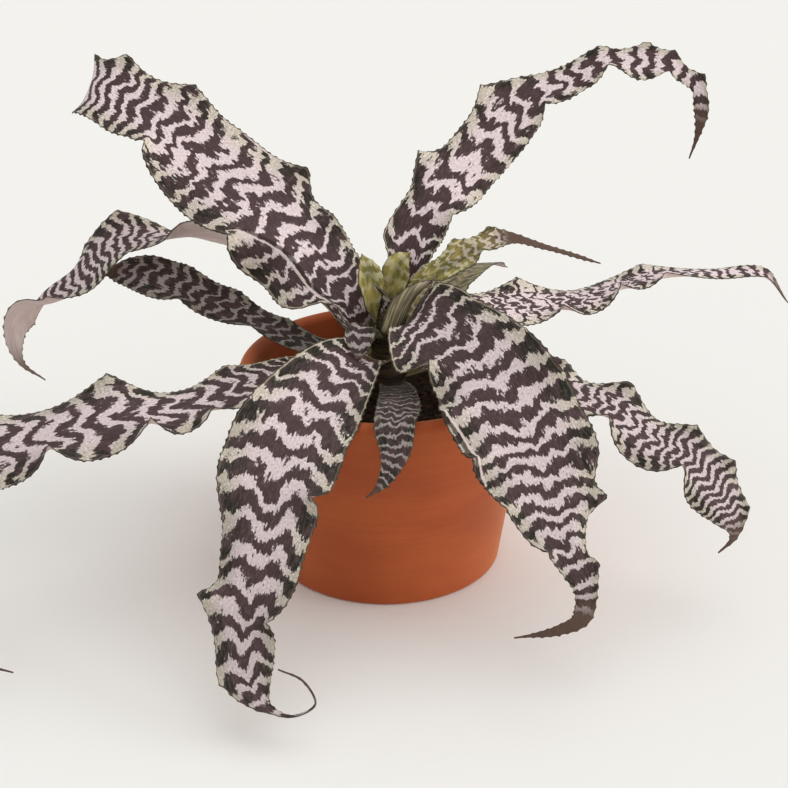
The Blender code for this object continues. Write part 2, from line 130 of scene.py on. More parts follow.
LEAVES = {
    "leaf_left_low": dict(
        base=(195, 0.22), stations=[
            (-0.53, -0.20, 1.00, 20, -10), (-0.80, -0.47, 1.04, 24, -5),
            (-1.03, -0.67, 1.05, 27, -5), (-1.38, -0.83, 1.03, 29, -5),
            (-1.71, -0.94, 1.02, 33, -10), (-2.19, -1.07, 0.97, 35, -15),
            (-2.55, -1.22, 0.92, 32, -25), (-2.85, -1.45, 0.73, 20, -35),
            (-2.93, -1.62, 0.41, 8, -40), (-2.66, -1.75, 0.18, 4, -40),
            (-2.28, -1.82, 0.12, 2, -40)],
        left=[(0.08, 30, 0), (0.18, -25, 0), (0.28, 50, 0), (0.32, -30, 0), (0.36, 70, -3),
              (0.43, -40, 0), (0.50, 70, -3), (0.57, -40, 0), (0.64, 60, -1), (0.72, -20, 0)],
        right=[(0.06, 20, 0), (0.14, -15, 0), (0.22, 30, 1), (0.30, -25, -2), (0.40, 45, 6),
               (0.50, -30, -1), (0.60, 40, 2), (0.70, -20, 0)],
        gutter=(35, 8), period=[(0.0, 9), (0.3, 13), (0.6, 13), (1.0, 6)], zigzag=0.8, mottle=0.3,
        shade_and_green=(0.15, 0.45)),
    "leaf_left_mid": dict(
        base=(172, 0.42), stations=[
            (-0.35, -0.02, 1.03, 16, -5), (-0.65, 0.18, 1.07, 17, -5),
            (-0.94, 0.37, 1.11, 19, -10), (-1.23, 0.53, 1.16, 23, -15),
            (-1.50, 0.67, 1.20, 24, -20), (-1.72, 0.78, 1.23, 21, -30),
            (-1.92, 0.87, 1.21, 11, -35), (-2.06, 0.94, 1.17, 2, -35)],
        left=ruffles(3, 35, -20), right=ruffles(4, 35, -15),
        gutter=(30, 14), period=[(0.0, 8), (1.0, 8)], zigzag=0.5, mottle=0.5,
        shade_and_green=(0.8, 0.8), pale=-0.05),
    "leaf_left_twisted": dict(
        base=(143, 0.47), stations=[
            (-0.36, 0.20, 1.22, 20, 10), (-0.71, 0.49, 1.33, 27, 25),
            (-1.10, 0.76, 1.43, 32, 50), (-1.34, 0.86, 1.41, 27, 35),
            (-1.52, 0.90, 1.38, 24, 15), (-1.72, 0.92, 1.37, 25, -5),
            (-1.94, 0.92, 1.33, 26, -25), (-2.22, 0.89, 1.15, 22, -30),
            (-2.46, 0.83, 1.06, 15, -10), (-2.60, 0.77, 1.01, 13, 60),
            (-2.65, 0.71, 0.90, 9, 105), (-2.61, 0.65, 0.79, 4, 115),
            (-2.43, 0.58, 0.71, 2, 120)],
        left=[(0.12, 35, 0), (0.20, -15, 0), (0.29, 35, 0), (0.38, -15, 0), (0.455, 30, -2),
              (0.50, -15, 2), (0.58, 10, 0), (0.67, -5, 1), (0.78, 85, 4), (0.88, 0, 0)],
        right=[(0.12, 30, 0), (0.22, -10, 0), (0.33, 30, 0), (0.45, -10, 0), (0.60, 35, 6),
               (0.67, -10, 0), (0.78, -85, 4), (0.88, -10, 0)],
        gutter=(30, 10), period=[(0.0, 7), (0.5, 6), (1.0, 4)], zigzag=0.5, mottle=0.5,
        shade_and_green=(0.1, 0.25)),
    "leaf_upper_left": dict(
        base=(150, 0.60), stations=[
            (-0.19, 0.05, 1.28, 20, -30), (-0.43, 0.19, 1.41, 36, -25),
            (-0.65, 0.36, 1.54, 41, -20), (-0.86, 0.52, 1.65, 44, -25),
            (-1.10, 0.68, 1.75, 43, -30), (-1.36, 0.82, 1.87, 39, -30),
            (-1.58, 0.93, 1.98, 36, -35), (-1.80, 1.02, 2.06, 33, -40),
            (-1.98, 1.09, 2.11, 29, -45), (-2.06, 1.20, 2.08, 24, -45),
            (-2.02, 1.34, 1.95, 14, -40), (-1.92, 1.40, 1.81, 2, -40)],
        left=[(0.15, 20, 0), (0.27, -78, 10), (0.37, 10, 1), (0.52, -25, 4), (0.62, 10, 1),
              (0.655, 45, -4), (0.70, 0, -3), (0.76, -10, 0), (0.86, 20, 3), (0.93, -10, 0)],
        right=[(0.10, 30, 0), (0.18, -10, 0), (0.27, 30, 1), (0.33, -15, 0), (0.375, 20, 6),
               (0.46, -20, 1), (0.54, -10, 1), (0.66, 20, 5), (0.73, -10, -2), (0.79, 20, 3),
               (0.82, 0, -2), (0.85, 20, 3), (0.93, -10, 0)],
        clasp_left=(20, 78, 0.18), clasp_right=(15, 60, 0.20), crease_left=(0.13, 0.385, 0.30),
        gutter=(50, 12), period=[(0.0, 6), (0.3, 12), (0.55, 13), (0.72, 6.5), (1.0, 4.5)],
        zigzag=0.55, mottle=0.45),
    "leaf_upper_right": dict(
        base=(78, 0.62), stations=[
            (0.14, 0.25, 1.40, 16, 5), (0.21, 0.36, 1.57, 25, 10),
            (0.35, 0.42, 1.69, 27, 5), (0.51, 0.55, 1.80, 27, 15),
            (0.77, 0.71, 1.96, 25, 15), (0.98, 0.80, 2.09, 20, 10),
            (1.26, 0.88, 2.18, 15, 0), (1.50, 0.92, 2.26, 12, -5),
            (1.75, 0.95, 2.25, 13, 20), (1.94, 0.97, 2.22, 10, 20),
            (2.10, 0.97, 2.14, 8, 45), (2.16, 0.95, 2.02, 7, 65),
            (2.14, 0.92, 1.90, 4, 65), (2.09, 0.89, 1.79, 2, 65)],
        left=[(0.12, 10, 0), (0.185, 10, 3), (0.235, -15, -1), (0.315, 15, 8), (0.36, -15, 0),
              (0.40, -10, 1), (0.48, 15, 10), (0.58, -25, 0), (0.68, 20, 2), (0.71, -10, -1),
              (0.75, 15, 3), (0.78, 0, 1), (0.80, 15, 3), (0.83, -10, -1), (0.855, 10, 3),
              (0.88, 0, 0)],
        right=[(0.19, -10, 0), (0.27, 30, -4), (0.33, -10, 0), (0.50, -15, 0), (0.545, 40, -5),
               (0.60, -10, -1), (0.64, -10, 0), (0.685, 40, -5), (0.75, -10, 1), (0.80, 40, -4),
               (0.83, 0, -1), (0.87, 20, -2), (0.92, -5, 0)],
        gutter=(30, 12), period=[(0.0, 9), (0.3, 14), (0.6, 10), (1.0, 5)],
        zigzag=0.5, mottle=0.35, dry=(1.0, 0.89)),
    "leaf_right_young": dict(
        base=(5, 0.78), stations=[
            (0.21, 0.00, 1.37, 12, 20), (0.35, 0.07, 1.43, 13, 40),
            (0.52, 0.18, 1.49, 14, 45), (0.67, 0.23, 1.53, 11, 45),
            (0.83, 0.28, 1.54, 6, 40), (1.07, 0.31, 1.49, 3, 40),
            (1.45, 0.34, 1.40, 2, 40)],
        left=[(0.30, 20, 0), (0.36, -10, -1), (0.43, 20, 2), (0.49, -10, -1), (0.56, 20, 3),
              (0.70, -10, 0)],
        right=[(0.25, 40, 0), (0.33, -10, -1), (0.43, 20, 2), (0.50, 40, -3), (0.56, 10, 0),
               (0.72, -10, 0)],
        clasp_right=(16, 115, 0.34),
        gutter=(40, 18), period=[(0.0, 6), (1.0, 5)], zigzag=0.3, mottle=1.2, young=(0.9, 0.85),
        dry=(1.0, 0.58)),
    "leaf_right_high": dict(
        base=(20, 0.45), stations=[
            (0.36, 0.15, 1.18, 22, 5), (0.80, 0.52, 1.12, 25, 25),
            (1.14, 0.71, 1.08, 25, 25), (1.42, 0.86, 1.07, 22, 15),
            (1.69, 1.02, 1.09, 19, 5), (2.00, 1.14, 1.11, 16, 5),
            (2.41, 1.26, 1.09, 12, 10), (2.80, 1.35, 1.05, 8, 25),
            (3.00, 1.42, 0.88, 2, 50)],
        left=[(0.15, 20, 0), (0.25, -20, 0), (0.34, 35, 4), (0.48, -25, 0), (0.64, 40, 3),
              (0.78, -20, 0), (0.92, 50, 1)],
        right=[(0.20, 30, 0), (0.30, -30, 0), (0.40, 60, -2), (0.47, -30, 1), (0.55, 60, -1),
               (0.61, -30, 0), (0.66, 60, 0), (0.80, -25, 0), (0.90, 30, 0)],
        gutter=(30, 12), period=[(0.0, 9), (1.0, 6)], zigzag=0.3, mottle=1.1, pale=0.07),
    "leaf_right_low": dict(
        base=(345, 0.28), stations=[
            (0.53, -0.15, 1.07, 23, 10), (0.90, -0.37, 1.07, 27, 15),
            (1.19, -0.50, 1.00, 27, 5), (1.43, -0.59, 0.96, 25, 5),
            (1.70, -0.75, 0.86, 24, 10), (1.97, -0.84, 0.77, 23, 15),
            (2.10, -0.90, 0.68, 22, 25), (2.20, -0.95, 0.57, 16, 30),
            (2.23, -1.00, 0.45, 5, 40), (2.14, -1.02, 0.38, 2, 40)],
        left=[(0.20, 20, 0), (0.30, -20, 0), (0.38, 40, 0), (0.45, -25, 0), (0.53, 35, 5),
              (0.62, -20, 0), (0.72, 35, 4), (0.77, -5, 1), (0.81, 30, 3), (0.86, -15, 0),
              (0.90, 25, 2), (0.96, 0, 0)],
        right=[(0.30, 20, 0), (0.42, -20, 0), (0.54, 60, -2), (0.64, -40, 3), (0.73, 65, -2),
               (0.82, -40, 3), (0.93, 20, 0)],
        gutter=(30, 10), period=[(0.0, 8), (0.5, 6), (0.8, 4), (1.0, 3)], zigzag=0.6, mottle=0.6,
        shade_and_green=(0.15, 0.35)),
    "leaf_front_right": dict(
        base=(310, 0.62), stations=[
            (0.13, -0.15, 1.23, 16, 15), (0.26, -0.33, 1.32, 31, 35),
            (0.45, -0.55, 1.30, 42, 35), (0.64, -0.80, 1.22, 50, 30),
            (0.79, -1.05, 1.08, 52, 20), (0.92, -1.26, 0.94, 49, 20),
            (1.00, -1.44, 0.81, 38, 15), (1.06, -1.58, 0.70, 25, 20),
            (1.14, -1.69, 0.60, 13, 25), (1.20, -1.76, 0.48, 6, 30),
            (1.19, -1.79, 0.39, 4, 30), (1.05, -1.77, 0.31, 3, 30),
            (0.79, -1.72, 0.25, 2, 35)],
        left=[(0.04, -10, 0), (0.085, -25, 18), (0.13, -10, 1), (0.22, -10, -3), (0.40, 25, 0),
              (0.48, -15, 1), (0.57, 20, 2), (0.61, -15, 0), (0.65, 10, 6), (0.68, -35, -1),
              (0.74, -30, -1), (0.77, 10, 4), (0.84, -10, 2), (0.90, 10, 1)],
        right=[(0.12, 20, 2), (0.19, -20, 9), (0.27, 50, -2), (0.33, -25, -1), (0.40, 20, 2),
               (0.46, -15, 0), (0.51, 30, 1), (0.57, -15, 0), (0.63, 20, 1), (0.68, -10, 0),
               (0.72, 45, -1), (0.79, -10, 0), (0.85, 10, 2), (0.92, 0, 1)],
        gutter=(45, 12), period=[(0.0, 9), (0.3, 12), (0.5, 9), (0.8, 6), (1.0, 5)],
        zigzag=0.5, mottle=0.35, shade_and_green=(0.1, 0.35), dry=(1.0, 0.82)),
    "leaf_front_small": dict(
        base=(278, 0.18), stations=[
            (0.06, -0.43, 1.01, 13, 0), (0.08, -0.69, 1.05, 16, 0),
            (0.08, -0.90, 1.06, 18, 0), (0.06, -1.06, 1.03, 17, 0),
            (0.06, -1.14, 0.95, 13, 0), (0.03, -1.18, 0.87, 8, 0),
            (-0.03, -1.22, 0.80, 4, -5), (-0.12, -1.24, 0.75, 2, -15)],
        left=ruffles(3, 20, -5), right=ruffles(2, 20, -5),
        gutter=(25, 10), period=[(0.0, 4), (1.0, 3.5)], zigzag=0.4, mottle=0.8,
        shade_and_green=(1.0, 0.85), pale=-0.12),
    "leaf_front_left": dict(
        base=(245, 0.52), stations=[
            (-0.10, -0.25, 1.09, 19, -10), (-0.23, -0.49, 1.13, 30, -25),
            (-0.44, -0.83, 1.07, 43, -25), (-0.58, -1.15, 0.98, 47, -20),
            (-0.67, -1.42, 0.85, 43, -20), (-0.73, -1.63, 0.70, 36, -20),
            (-0.80, -1.83, 0.53, 30, -20), (-0.84, -2.02, 0.37, 23, -20),
            (-0.79, -2.18, 0.22, 16, -30), (-0.69, -2.28, 0.17, 6, -60),
            (-0.55, -2.31, 0.14, 3, -90), (-0.41, -2.27, 0.18, 2, -90),
            (-0.48, -2.22, 0.27, 2, -60), (-0.63, -2.18, 0.31, 2, -40)],
        left=[(0.10, 40, 0), (0.22, -10, -1), (0.32, -5, -2), (0.40, -15, -1), (0.45, 65, -1),
              (0.50, -15, -1), (0.59, 0, 1), (0.67, 65, -1), (0.73, -10, 1), (0.82, 40, -1)],
        right=[(0.10, 30, 0), (0.20, -20, 0), (0.31, 20, 1), (0.37, -20, 2), (0.43, 15, 3),
               (0.53, -45, 0), (0.60, -40, -1), (0.64, 10, 7), (0.70, -30, 0), (0.76, 10, 2),
               (0.775, -10, 0), (0.82, 10, 2), (0.835, -10, 0)],
        gutter=(40, 12), period=[(0.0, 9), (0.25, 14), (0.5, 13), (0.75, 9), (1.0, 6)],
        zigzag=0.6, mottle=0.2, shade_and_green=(0.15, 0.5)),
    "leaf_under_heart": dict(
        base=(235, 0.82), stations=[
            (-0.16, -0.20, 1.23, 11, 0), (-0.17, -0.29, 1.20, 13, 0),
            (-0.17, -0.37, 1.16, 6, 0), (-0.17, -0.41, 1.14, 2, 0)],
        left=ruffles(1, 30, -10), right=ruffles(1, 30, -10),
        gutter=(40, 30), period=[(0.0, 5), (1.0, 5)], zigzag=0.3, mottle=0.5, shade_and_green=(0.7, 0.7)),
    "leaf_heart_left": dict(
        base=(190, 0.97), stations=[
            (-0.10, 0.00, 1.25, 8, -30), (-0.11, 0.02, 1.36, 11, -50),
            (-0.13, 0.08, 1.45, 11, -50), (-0.16, 0.15, 1.50, 2, -50)],
        left=[(0.60, 5, 5)], right=[(0.55, 10, 2)],
        gutter=(60, 40), period=[(0.0, 6), (1.0, 6)], zigzag=0.3, mottle=0.5,
        young=(1.0, 2.0), dry=(0.0, 1.0)),
    "leaf_heart_right": dict(
        base=(68, 0.97), stations=[
            (0.04, 0.10, 1.28, 8, 0), (0.06, 0.12, 1.37, 10, 0),
            (0.09, 0.16, 1.45, 10, 0), (0.16, 0.22, 1.49, 2, 0)],
        left=[(0.55, 10, 2)], right=[(0.60, 5, 3)],
        gutter=(60, 40), period=[(0.0, 6), (1.0, 6)], zigzag=0.3, mottle=0.5,
        young=(1.0, 2.0), dry=(0.0, 1.0)),
    "leaf_back_right": dict(
        base=(46, 0.40), stations=[
            (0.25, 0.46, 1.06, 20, 0), (0.42, 0.82, 1.12, 24, -5),
            (0.60, 1.15, 1.14, 21, -10), (0.78, 1.38, 1.11, 11, -10),
            (0.90, 1.52, 1.05, 2, -10)],
        left=ruffles(2, 12, -8), right=ruffles(2, 12, -8),
        gutter=(30, 12), period=[(0.0, 7), (1.0, 6)], zigzag=0.6, mottle=0.5,
        shade_and_green=(0.95, 0.95), young=(0.5, 1.5), dry=(0.0, 1.0)),
    "leaf_back": dict(
        base=(112, 0.22), stations=[
            (-0.10, 0.50, 1.08, 20, 0), (-0.12, 0.95, 1.14, 32, 0),
            (-0.17, 1.40, 1.05, 34, 0), (-0.22, 1.80, 0.80, 27, 5),
            (-0.22, 2.10, 0.50, 16, 5), (-0.15, 2.28, 0.28, 5, 5),
            (-0.05, 2.31, 0.20, 2, 5)],
        left=ruffles(5, 40, -25), right=ruffles(5, 40, -25),
        gutter=(35, 12), period=[(0.0, 9), (0.4, 11), (1.0, 5)], zigzag=0.7, mottle=0.4),
}


# ---------------------------------------------------------------- node helpers


class Nodes:
    """A small helper that adds nodes to a material and links them."""

    def __init__(self, name):
        self.material = bpy.data.materials.new(name)
        self.material.use_nodes = True
        self.tree = self.material.node_tree
        self.shader = self.tree.nodes["Principled BSDF"]

    def add(self, kind, inputs=(), **settings):
        node = self.tree.nodes.new(kind)
        for key, value in settings.items():
            setattr(node, key, value)
        for key, value in dict(inputs).items():
            self.put(node.inputs[key], value)
        return node

    def put(self, socket, value):
        if isinstance(value, bpy.types.NodeSocket):
            self.tree.links.new(value, socket)
        else:
            socket.default_value = value

    def math(self, operation, first, second=0.0, third=0.0, clamp=False):
        node = self.add("ShaderNodeMath", operation=operation, use_clamp=clamp)
        for socket, value in zip(node.inputs, (first, second, third)):
            self.put(socket, value)
        return node.outputs[0]

    def ramp(self, value, low, high, out_low=0.0, out_high=1.0):
        """A smooth change from one output to the other as the value goes from low to high."""
        node = self.add("ShaderNodeMapRange", interpolation_type="SMOOTHSTEP")
        for socket, entry in zip(node.inputs, (value, low, high, out_low, out_high)):
            self.put(socket, entry)
        return node.outputs["Result"]

    def mix(self, amount, first, second):
        node = self.add("ShaderNodeMix", data_type="RGBA")
        self.put(node.inputs["Factor"], amount)
        colours = [s for s in node.inputs if s.type == "RGBA"]
        self.put(colours[0], first)
        self.put(colours[1], second)
        return [s for s in node.outputs if s.type == "RGBA"][0]

    def swing(self, value, amount):
        """A value of 0 to 1 as a swing about zero."""
        return self.math("MULTIPLY", self.math("SUBTRACT", value, 0.5), amount)

    def noise(self, vector, scale, detail=2.0, roughness=0.5):
        """Noise at one scale, or at a scale of its own along each axis."""
        if isinstance(scale, tuple):
            vector = self.add("ShaderNodeVectorMath", operation="MULTIPLY",
                              inputs={0: vector, 1: scale}).outputs[0]
            scale = 1.0
        node = self.add("ShaderNodeTexNoise", inputs={
            "Vector": vector, "Scale": scale, "Detail": detail, "Roughness": roughness})
        return node.outputs["Fac"]

    def attribute(self, name):
        """A per-point value of the mesh: the vector, and its three parts."""
        node = self.add("ShaderNodeAttribute", attribute_name=name, attribute_type="GEOMETRY")
        split = self.add("ShaderNodeSeparateXYZ", inputs={0: node.outputs["Vector"]})
        return node.outputs["Vector"], split.outputs

    def bump(self, height, strength, distance):
        node = self.add("ShaderNodeBump", inputs={
            "Height": height, "Strength": strength, "Distance": distance})
        self.put(self.shader.inputs["Normal"], node.outputs[0])

    def finish(self, colour, roughness, specular=0.5):
        self.put(self.shader.inputs["Base Color"], colour)
        self.put(self.shader.inputs["Roughness"], roughness)
        self.shader.inputs["Specular IOR Level"].default_value = specular
        return self.material


def srgb(red, green, blue):
    """A colour given as 0 to 255 sRGB, as linear RGBA."""
    def linear(value):
        value /= 255
        return value / 12.92 if value <= 0.04045 else ((value + 0.055) / 1.055) ** 2.4
    return (linear(red), linear(green), linear(blue), 1.0)


# ---------------------------------------------------------------- materials


def band_pattern(n, place, grains, bands):
    """1 on the pale bands and 0 on the dark ones, which wander, break up and end in fringes."""
    streak, grain, fleck = grains
    phase, share, mottle = bands

    def offset(scales, amount, detail=2.0):
        return n.swing(n.noise(place, scales, detail), amount)

    wander = n.math("ADD", offset((0.06, 0.045, 0.0), 1.4), offset((0.24, 0.12, 0.0), 0.8))
    broken = n.math("MULTIPLY", offset((0.32, 0.17, 0.0), 2.2, 1.5), mottle)
    fringe = n.swing(streak, 0.55)
    total = n.math("ADD", n.math("ADD", phase, wander), n.math("ADD", broken, fringe))
    wave = n.math("MULTIPLY", n.math("PINGPONG", total, 0.5), 2.0)
    wave = n.math("ADD", wave, n.swing(fleck, n.math("MULTIPLY_ADD", mottle, 0.5, 0.12)))
    wave = n.math("ADD", wave, n.swing(grain, 0.5))
    share = n.math("ADD", share, offset((0.05, 0.06, 0.0), 0.45))
    return n.ramp(n.math("SUBTRACT", wave, share), -0.09, 0.09)


def paint_fold_shade_and_highlight(n, colour, crease, streak):
    """The colour with a fold in it: a line of painted shade beside a painted highlight on the
    ridge.
    """
    wobbly = n.math("ADD", crease, n.swing(streak, 1.6))
    shade = n.ramp(n.math("ABSOLUTE", n.math("ADD", wobbly, 1.5)), 1.3, 0.6, 0.0, 0.8)
    glint = n.ramp(n.math("ABSOLUTE", wobbly), 0.75, 0.35, 0.0, 0.9)
    return n.mix(glint, n.mix(shade, colour, srgb(50, 40, 38)), srgb(222, 206, 200))


def leaf_upper_material():
    """Jagged crossbands: scurfy silver-pink on purple-brown, green towards the margins."""
    n = Nodes("banded_leaf_upper")
    place, (_, _, edge) = n.attribute("blade")
    _, bands = n.attribute("bands")
    _, (shade_and_green, young, dry) = n.attribute("tints_and_shade")
    _, (crease, pale_rim, _) = n.attribute("marks")
    streak = n.noise(place, (1.1, 0.30, 0.0), 2.0, 0.6)
    grain = n.noise(place, (1.25, 0.9, 0.0), 2.0, 0.7)
    fleck = n.noise(place, (2.4, 1.2, 0.0), 2.0, 0.7)
    pale = band_pattern(n, place, (streak, grain, fleck), bands)

    # Dark bands: purple-brown, and green in patches near the margin, and where the blade has
    # painted shade
    to_margin = n.ramp(edge, 0.40, 0.95)
    patch = n.ramp(n.noise(place, (0.25, 0.10, 0.0)), 0.30, 0.6)
    toned = n.math("MULTIPLY_ADD", shade_and_green, 0.7, 0.12)
    greenish = n.math("MULTIPLY", n.math("ADD", to_margin, toned, clamp=True), patch)
    dark = n.mix(greenish, srgb(80, 61, 62), srgb(38, 39, 28))
    dark = n.mix(n.ramp(streak, 0.42, 0.78, 0.0, 0.5), dark, srgb(110, 92, 96))
    dark = n.mix(n.ramp(grain, 0.60, 0.74, 0.0, 0.35), dark, srgb(140, 122, 120))

    # Pale bands: silver-pink scurf with pits and bright flakes
    light = n.mix(to_margin, srgb(230, 211, 214), srgb(200, 190, 172))
    light = n.mix(n.ramp(grain, 0.44, 0.30, 0.0, 0.6), light, srgb(146, 126, 124))
    light = n.mix(n.ramp(grain, 0.52, 0.66, 0.0, 0.7), light, srgb(252, 246, 246))
    # Painted shade: the pale bands darken to grey-green where the blade is shaded
    light = n.mix(n.math("MULTIPLY", shade_and_green, 0.72), light, srgb(78, 78, 68))
    colour = n.mix(pale, dark, light)

    # Young parts: yellow-green, with the bands only faintly paler
    leaf_green = n.mix(n.ramp(n.noise(place, (0.22, 0.10, 0.0), 3.0), 0.35, 0.65),
                       srgb(98, 96, 44), srgb(176, 162, 92))
    faint = n.math("MULTIPLY", pale, n.ramp(edge, 0.2, 0.9, 0.05, 0.6))
    fresh = n.mix(faint, leaf_green, srgb(196, 194, 150))
    colour = n.mix(n.math("MULTIPLY", young, n.ramp(fleck, 0.3, 0.7, 0.8, 1.0)), colour, fresh)

    # The pale rim, the fold's painted shade and painted highlight, the dark outermost edge and the
    # dry tip
    rim = n.math("ADD", edge, n.swing(streak, 0.06))
    rim_line = n.math("MULTIPLY", n.ramp(rim, 0.945, 0.975), pale_rim)
    colour = n.mix(rim_line, colour, srgb(210, 200, 174))
    # Painted shade and a painted highlight along the fold
    colour = paint_fold_shade_and_highlight(n, colour, crease, streak)
    colour = n.mix(n.ramp(rim, 0.975, 0.99, 0.0, 0.9), colour, srgb(58, 48, 40))
    colour = n.mix(dry, colour, n.mix(fleck, srgb(62, 48, 40), srgb(116, 94, 82)))

    scurf = n.math("MULTIPLY", n.math("MULTIPLY", pale, fleck), 0.8)
    relief = n.math("ADD", n.math("MULTIPLY", streak, 0.6), scurf)
    relief = n.math("MULTIPLY", relief, n.math("SUBTRACT", 1.0, dry))
    n.bump(relief, 0.4, 0.0003)
    return n.finish(colour, n.ramp(pale, 0.0, 1.0, 0.5, 0.8), 0.12)


def leaf_under_material():
    """The underside: plain silver scurf with faint lengthwise veins, striped at the base."""
    n = Nodes("banded_leaf_under")
    place, (_, _, edge) = n.attribute("blade")
    _, (shade_and_green, young, dry) = n.attribute("tints_and_shade")
    _, (_, near_base, _) = n.attribute("marks")
    veins = n.noise(place, (1.6, 0.05, 0.0))
    scurf = n.noise(place, (2.4, 1.6, 0.0), 2.0, 0.7)
    patch = n.noise(place, (0.2, 0.06, 0.0))
    stripes = n.ramp(n.noise(place, (1.1, 0.06, 0.0), 2.0, 0.6), 0.49, 0.55)
    sheath = n.mix(stripes, srgb(50, 46, 28), srgb(198, 188, 146))
    colour = n.mix(n.ramp(patch, 0.35, 0.65), srgb(204, 182, 178), srgb(220, 204, 198))
    colour = n.mix(n.ramp(veins, 0.45, 0.7, 0.0, 0.5), colour, srgb(180, 156, 152))
    colour = n.mix(n.ramp(scurf, 0.5, 0.75, 0.0, 0.5), colour, srgb(230, 218, 212))
    colour = n.mix(n.ramp(near_base, 0.35, 0.85, 0.0, 0.9), colour, sheath)
    colour = n.mix(n.math("MULTIPLY", young, 0.35), colour, srgb(128, 126, 60))
    # Painted shade: the underside darkens where the blade is shaded
    colour = n.mix(n.math("MULTIPLY", shade_and_green, 0.5), colour, srgb(92, 88, 74))
    colour = n.mix(n.ramp(edge, 0.94, 0.985, 0.0, 0.8), colour, srgb(78, 66, 54))
    colour = n.mix(n.math("MULTIPLY", dry, 0.9), colour, srgb(104, 88, 74))
    n.bump(n.math("ADD", veins, n.math("MULTIPLY", scurf, 0.5)), 0.3, 0.0003)
    return n.finish(colour, 0.7, 0.3)


def terracotta_material():
    """Unglazed fired clay: fine throwing rings, grog specks and slow shifts of colour."""
    n = Nodes("terracotta")
    place = n.add("ShaderNodeTexCoord").outputs["Object"]
    slow = n.noise(place, (22.0, 22.0, 40.0), 3.0, 0.55)
    rings = n.noise(place, (8.0, 8.0, 900.0), 3.0, 0.6)
    grain = n.noise(place, 1800.0, 3.0, 0.7)
    cells = n.add("ShaderNodeTexVoronoi", inputs={"Vector": place, "Scale": 620.0})
    speck = cells.outputs["Distance"]
    colour = n.mix(n.ramp(slow, 0.3, 0.7), srgb(158, 69, 28), srgb(172, 83, 37))
    colour = n.mix(n.ramp(rings, 0.45, 0.75, 0.0, 0.22), colour, srgb(140, 57, 24))
    colour = n.mix(n.ramp(grain, 0.5, 0.8, 0.0, 0.4), colour, srgb(186, 98, 50))
    colour = n.mix(n.ramp(speck, 0.16, 0.08, 0.0, 0.35), colour, srgb(126, 58, 32))
    height = n.math("ADD", n.math("MULTIPLY", rings, 0.7), n.math("MULTIPLY", grain, 0.4))
    n.bump(height, 0.25, 0.0004)
    n.shader.inputs["Sheen Weight"].default_value = 0.45
    n.shader.inputs["Sheen Roughness"].default_value = 0.4
    n.shader.inputs["Sheen Tint"].default_value = srgb(255, 196, 140)
    return n.finish(colour, n.ramp(slow, 0.3, 0.7, 0.55, 0.68), 0.3)


def soil_material():
    """Damp peat: near-black crumbs with brown fibres."""
    n = Nodes("potting_mix")
    place = n.add("ShaderNodeTexCoord").outputs["Object"]
    crumbs = n.noise(place, 420.0, 4.0, 0.7)
    fibres = n.noise(place, (900.0, 160.0, 400.0), 3.0, 0.6)
    colour = n.mix(n.ramp(crumbs, 0.35, 0.7), srgb(34, 26, 20), srgb(70, 54, 40))
    colour = n.mix(n.ramp(fibres, 0.62, 0.75, 0.0, 0.6), colour, srgb(112, 86, 60))
    n.bump(crumbs, 0.8, 0.001)
    return n.finish(colour, 0.95, 0.2)


def bark_material():
    """Chips of composted bark."""
    n = Nodes("bark_chips")
    place = n.add("ShaderNodeTexCoord").outputs["Object"]
    grain = n.noise(place, (300.0, 900.0, 600.0), 3.0, 0.6)
    patch = n.noise(place, 90.0, 2.0)
    colour = n.mix(n.ramp(grain, 0.35, 0.7), srgb(52, 37, 27), srgb(104, 76, 52))
    colour = n.mix(n.ramp(patch, 0.4, 0.7, 0.0, 0.7), colour, srgb(60, 46, 36))
    n.bump(grain, 0.6, 0.0006)
    return n.finish(colour, 0.9, 0.25)


def shaded_stem_material():
    """Fibrous stock ringed by old leaf scars, its browns darkened to near black as painted shade.
    """
    n = Nodes("stem")
    place = n.add("ShaderNodeTexCoord").outputs["Object"]
    rings = n.noise(place, (60.0, 60.0, 900.0), 3.0, 0.6)
    fibre = n.noise(place, (1500.0, 1500.0, 120.0), 2.0)
    # Painted shade: the browns are kept near black, as the stem sits in the rosette's shade
    colour = n.mix(n.ramp(rings, 0.35, 0.65), srgb(44, 36, 28), srgb(84, 72, 50))
    colour = n.mix(n.ramp(fibre, 0.5, 0.8, 0.0, 0.5), colour, srgb(36, 28, 22))
    n.bump(n.math("ADD", rings, fibre), 0.5, 0.0004)
    return n.finish(colour, 0.8, 0.3)


def floor_material():
    """Plain matt paper, nearly white."""
    n = Nodes("studio_floor")
    return n.finish(srgb(243, 243, 240), 0.9, 0.05)


# ---------------------------------------------------------------- mesh helpers


def outward_volume(points, faces):
    """Six times the volume inside a closed mesh of four-sided faces, below zero if inside out."""
    corner = np.asarray(points)[np.asarray(faces)]
    first = np.cross(corner[:, 1], corner[:, 2])
    second = np.cross(corner[:, 2], corner[:, 3])
    return float((corner[:, 0] * (first + second)).sum())


def closed_mesh(name, points, faces, materials):
    """A closed mesh of four-sided faces, with its normals outwards."""
    mesh = bpy.data.meshes.new(name)
    mesh.from_pydata([tuple(p) for p in points], [], faces)
    for material in materials:
        mesh.materials.append(material)
    if outward_volume(points, faces) < 0:
        mesh.flip_normals()
    return mesh


def add_object(name, data):
    thing = bpy.data.objects.new(name, data)
    bpy.context.scene.collection.objects.link(thing)
    return thing


def add_piece(name, mesh, slot, *nodes):
    """A piece that rides the root body, with the CAD node that it replaces, if there is one."""
    mesh.shade_smooth()
    piece = add_object(name, mesh)
    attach(piece, "root")
    if nodes:
        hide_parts(*nodes)


def vector_attribute(mesh, name, values):
    layer = mesh.attributes.new(name, "FLOAT_VECTOR", "POINT")
    layer.data.foreach_set("vector", np.asarray(values, np.float32).ravel())


